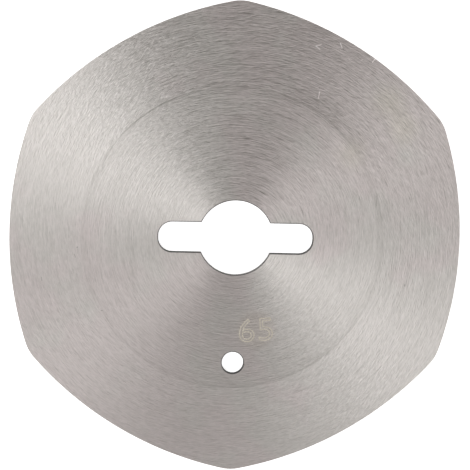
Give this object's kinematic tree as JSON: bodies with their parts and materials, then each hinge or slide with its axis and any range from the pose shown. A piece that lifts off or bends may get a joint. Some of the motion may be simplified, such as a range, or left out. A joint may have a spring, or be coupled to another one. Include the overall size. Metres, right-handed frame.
{
  "type": "rotary cutter blade",
  "caption": "Hexagonal rotary cutter blade with bowed sides, a bore with key slots, a driving pin hole, a taper-ground rim and a bevelled cutting edge.",
  "frame": {"origin": "axis of the bore, at the flat back face that the blade lies on", "axes": "+Z along the bore axis, out of the face with the ground taper; X along the key slots; -Y from the bore to the pin hole"},
  "size_m": [0.0622, 0.065, 0.001],
  "materials": {
    "ground_steel": "ground and brushed in circles about the bore, bare, slightly warm grey"
  },
  "bodies": {
    "root": {"blade": "ground_steel"}
  },
  "joints": []
}
